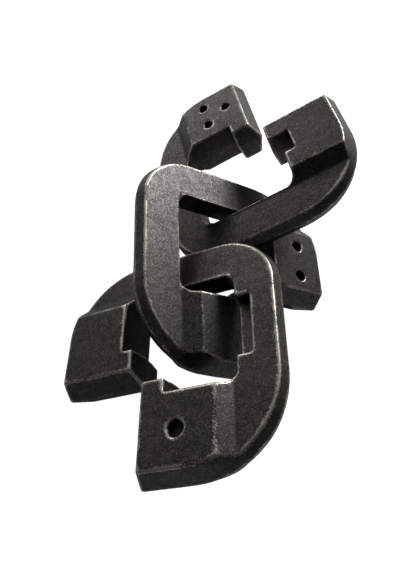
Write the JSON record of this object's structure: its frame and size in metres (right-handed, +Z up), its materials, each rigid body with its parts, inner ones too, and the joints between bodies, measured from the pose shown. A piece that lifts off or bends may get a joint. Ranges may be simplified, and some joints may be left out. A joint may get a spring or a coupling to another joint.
{
  "type": "cast metal disentanglement chain puzzle",
  "caption": "Interlocked open C-shaped links of blackened cast metal with toothed jaws and dimple marks, a take-apart chain puzzle lying on a table.",
  "frame": {"origin": "middle of the footprint, on the table that the links lie on", "axes": "+Y along the chain, from the one-dot link towards the three-dot link; +Z up from the table"},
  "size_m": [0.0512, 0.0844, 0.0279],
  "materials": {
    "blackened_zinc": "die-cast zinc alloy with a blackened antique finish, semi-gloss, grainy, rubbed bright along its edges"
  },
  "bodies": {
    "one_dot": {"link_one_dot": "blackened_zinc"},
    "two_dots": {"link_two_dots": "blackened_zinc"},
    "three_dots": {"link_three_dots": "blackened_zinc"}
  },
  "joints": [
    {"name": "one_dot_swing", "type": "hinge", "parent": "two_dots", "child": "one_dot", "pos_m": [-0.01121, -0.00401, 0.01842], "axis": [-0.0474, 0.9985, -0.0269], "range_deg": [-33, 0]},
    {"name": "three_dots_swing", "type": "hinge", "parent": "two_dots", "child": "three_dots", "pos_m": [-0.00606, 0.01702, 0.00509], "axis": [0.2053, -0.96, 0.1904], "range_deg": [0, 65]}
  ]
}
